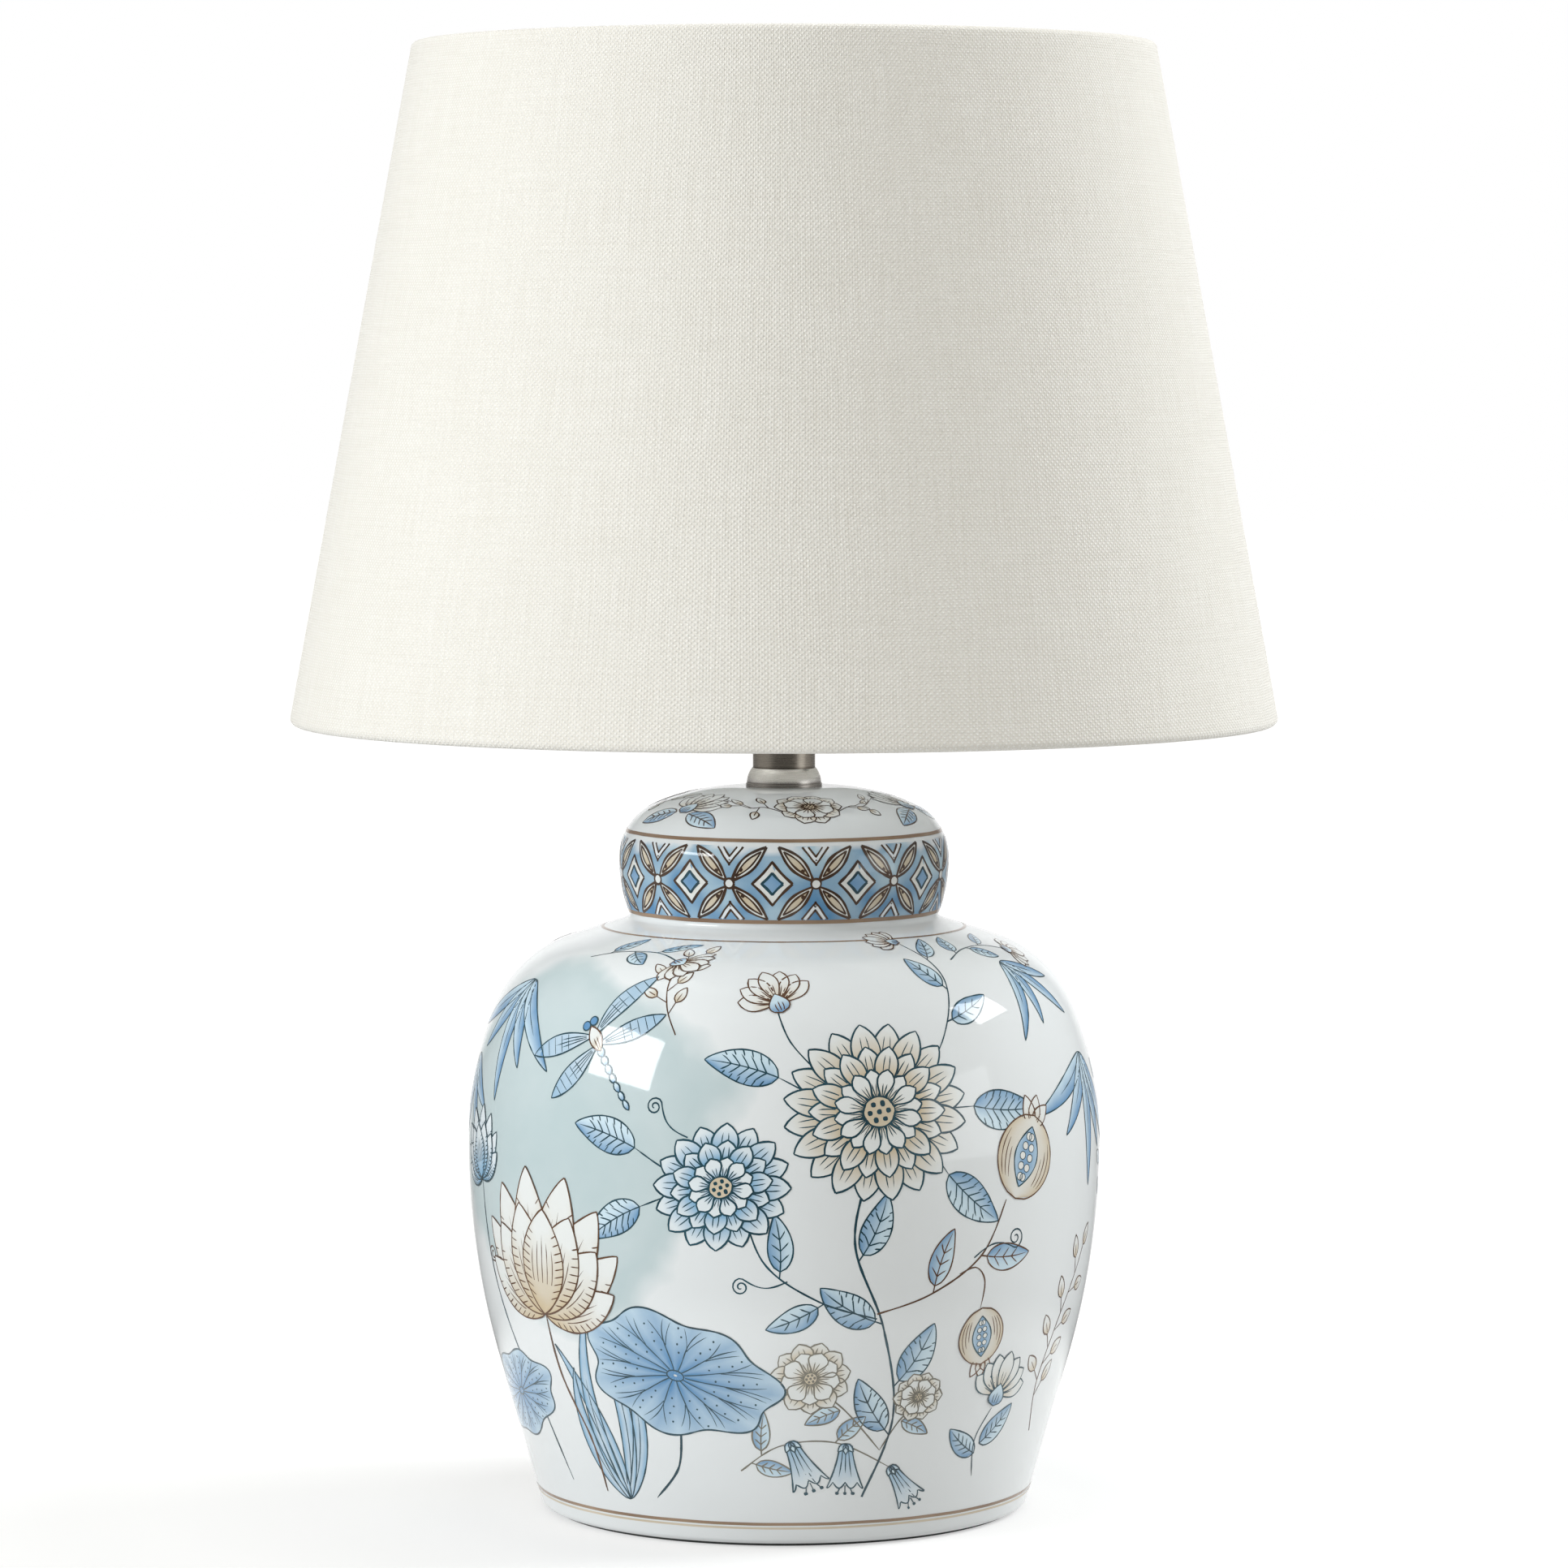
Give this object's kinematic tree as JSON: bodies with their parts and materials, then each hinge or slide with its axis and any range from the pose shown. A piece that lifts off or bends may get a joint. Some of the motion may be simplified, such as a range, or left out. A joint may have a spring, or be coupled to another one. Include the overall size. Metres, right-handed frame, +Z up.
{
  "type": "table lamp",
  "caption": "Table lamp with a glazed porcelain ginger jar base, lid, metal neck, screw lampholder and tapered linen shade.",
  "frame": {"origin": "middle of the felt pad's underside, on the surface that the lamp stands on", "axes": "+Z up along the lamp's axis, -Y the front as pictured, +Y the side with the cord inlet"},
  "size_m": [0.3999, 0.3998, 0.5942],
  "materials": {
    "glazed_porcelain": "cool white gloss glaze with blue and brown underglaze painting",
    "brushed_nickel": "brushed",
    "zinc_steel": "bright zinc plate",
    "brass": "bare",
    "bulb_metal": "satin",
    "black_bakelite": "moulded gloss",
    "steatite": "unglazed",
    "rubber": "matt",
    "clear_plastic": "natural",
    "felt": "pressed felt",
    "linen": "slubbed plain weave",
    "lining": "satin lining sheet",
    "white_wire": "white powder coat",
    "opal_glass": "opal",
    "black_glass": "gloss"
  },
  "bodies": {
    "base": {"jar_body": "glazed_porcelain", "jar_lid": "glazed_porcelain", "base_felt": "felt", "threaded_tube": "zinc_steel", "bottom_rubber_washer": "rubber", "bottom_washer": "zinc_steel", "bottom_nut": "brass", "lid_washer": "zinc_steel", "lid_nut": "brass", "neck_seat": "brushed_nickel", "neck_tube": "brushed_nickel", "cord_bush": "clear_plastic", "holder_cap": "black_bakelite", "holder_skirt": "black_bakelite", "contact_block": "steatite", "screw_shell": "brass", "terminal_screws": "brass", "lower_shade_ring": "black_bakelite", "switch_bush": "brass"},
    "switch": {"switch_spindle": "brass", "switch_knob": "black_bakelite"},
    "shade": {"shade_cover": "linen", "shade_liner": "lining", "shade_top_ring": "white_wire", "shade_bottom_ring": "white_wire", "shade_top_hem": "linen", "shade_bottom_hem": "linen", "fitter_ring": "white_wire", "fitter_arms": "white_wire"},
    "ring": {"upper_shade_ring": "black_bakelite"},
    "contact": {"centre_contact": "brass"},
    "bulb": {"bulb_glass": "opal_glass", "bulb_cap": "bulb_metal", "bulb_insulator": "black_glass", "bulb_contact": "bulb_metal"}
  },
  "joints": [
    {"name": "switch_turn", "type": "hinge", "parent": "base", "child": "switch", "pos_m": [0.0232, 0, 0.32892], "axis": [1, 0, 0], "continuous": true},
    {"name": "shade_turn", "type": "hinge", "parent": "base", "child": "shade", "pos_m": [0, 0, 0.35327], "axis": [0, 0, 1], "continuous": true},
    {"name": "ring_turn", "type": "hinge", "parent": "base", "child": "ring", "pos_m": [0, 0, 0.35712], "axis": [0, 0, 1], "range_deg": [0, 720]},
    {"name": "contact_rise", "type": "slide", "parent": "base", "child": "contact", "axis": [0, 0, 1], "range_m": [0, 0.0022], "deforming": ["centre_contact"]},
    {"name": "bulb_turn", "type": "hinge", "parent": "contact", "child": "bulb", "pos_m": [0, 0, 0.36097], "axis": [0, 0, 1], "range_deg": [0, 216]}
  ],
  "couplings": [
    {"joint": "contact_rise", "follows": "bulb_turn", "m_per_rad": 0.00057757}
  ]
}
